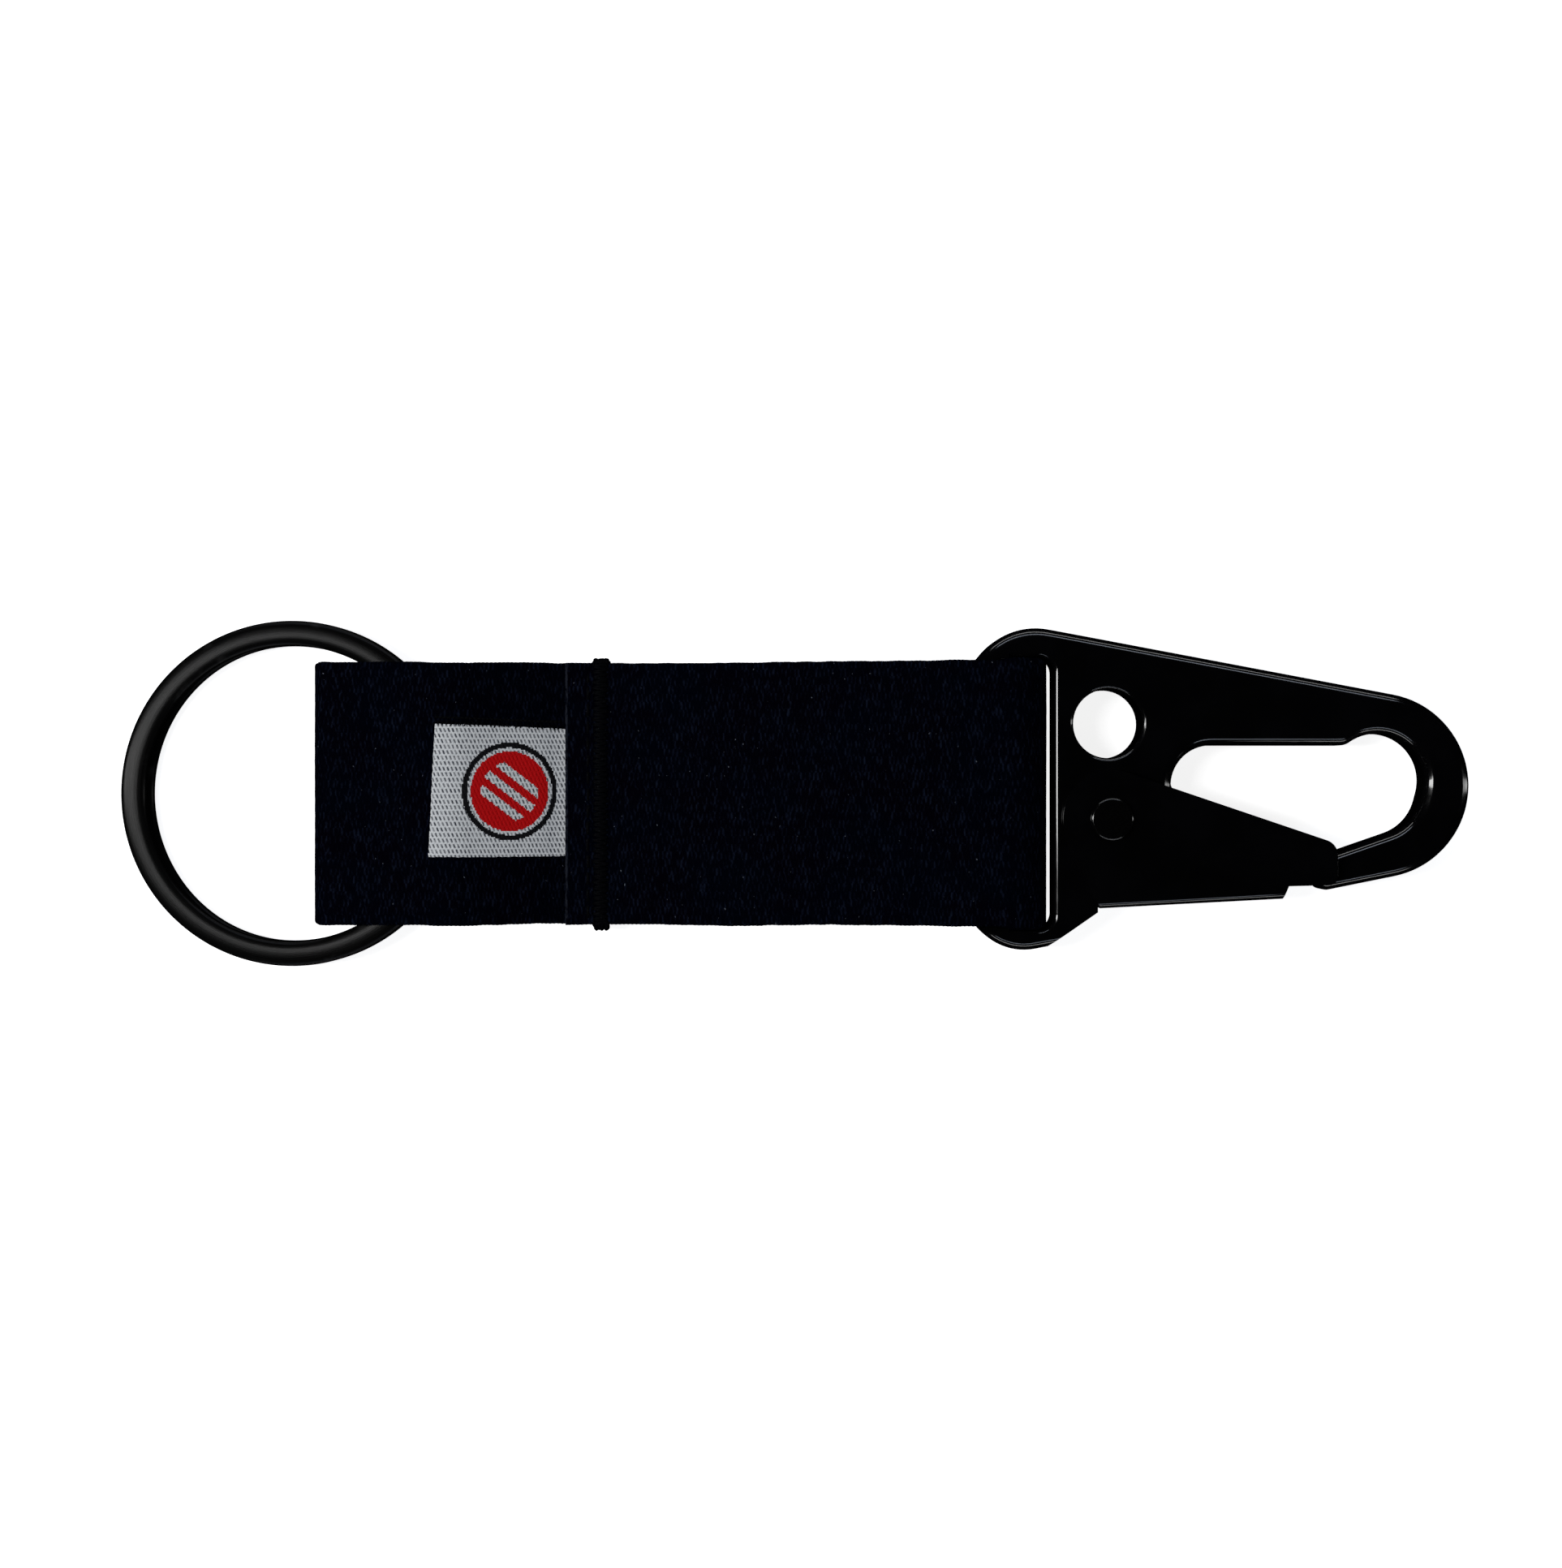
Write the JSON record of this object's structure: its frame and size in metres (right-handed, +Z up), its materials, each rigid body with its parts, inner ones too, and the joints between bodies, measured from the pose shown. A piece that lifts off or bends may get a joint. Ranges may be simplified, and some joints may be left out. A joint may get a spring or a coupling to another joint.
{
  "type": "key fob strap",
  "caption": "Short webbing key fob with a split ring at one end and a sprung-gate snap hook at the other.",
  "frame": {"origin": "centre of the fob's outline in plan, on the surface it lies on", "axes": "+X from the split ring to the hook's nose, +Z up, out of the strap's front, where the label is; +Y across the strap, away from the gate"},
  "size_m": [0.1284, 0.033, 0.0082],
  "materials": {
    "webbing": "woven polyester webbing, navy-black, matte",
    "thread": "twisted polyester thread, navy-black",
    "label": "woven twill label, off-white",
    "ring_steel": "black electrophoretic coat on spring steel, satin",
    "hook_steel": "black powder coat on pressed steel, semi-gloss",
    "rivet_steel": "black coat on a steel rivet, semi-gloss",
    "spring_steel": "drawn spring wire"
  },
  "bodies": {
    "strap": {"strap_webbing": "webbing", "bartack_stitches": "thread", "woven_label": "label", "label_stitches": "thread"},
    "ring": {"split_ring": "ring_steel"},
    "hook": {"hook_frame": "hook_steel", "gate_rivet": "rivet_steel", "gate_spring": "spring_steel"},
    "gate": {"gate": "hook_steel"}
  },
  "joints": [
    {"name": "ring_spin", "type": "hinge", "parent": "strap", "child": "ring", "pos_m": [-0.04757, 0, 0.00104], "axis": [-0.0628, 0, 0.998], "continuous": true},
    {"name": "hook_swing", "type": "hinge", "parent": "strap", "child": "hook", "pos_m": [0.0186, 0, 0.0039], "axis": [0, 1, 0], "range_deg": [-120, 120]},
    {"name": "gate_pivot", "type": "hinge", "parent": "hook", "child": "gate", "pos_m": [0.0302, -0.0024, 0.0039], "axis": [0, 0, 1], "range_deg": [0, 42], "stiffness_Nm_per_rad": 0.03, "springref_deg": -20.05, "deforming": ["gate_spring"]}
  ]
}
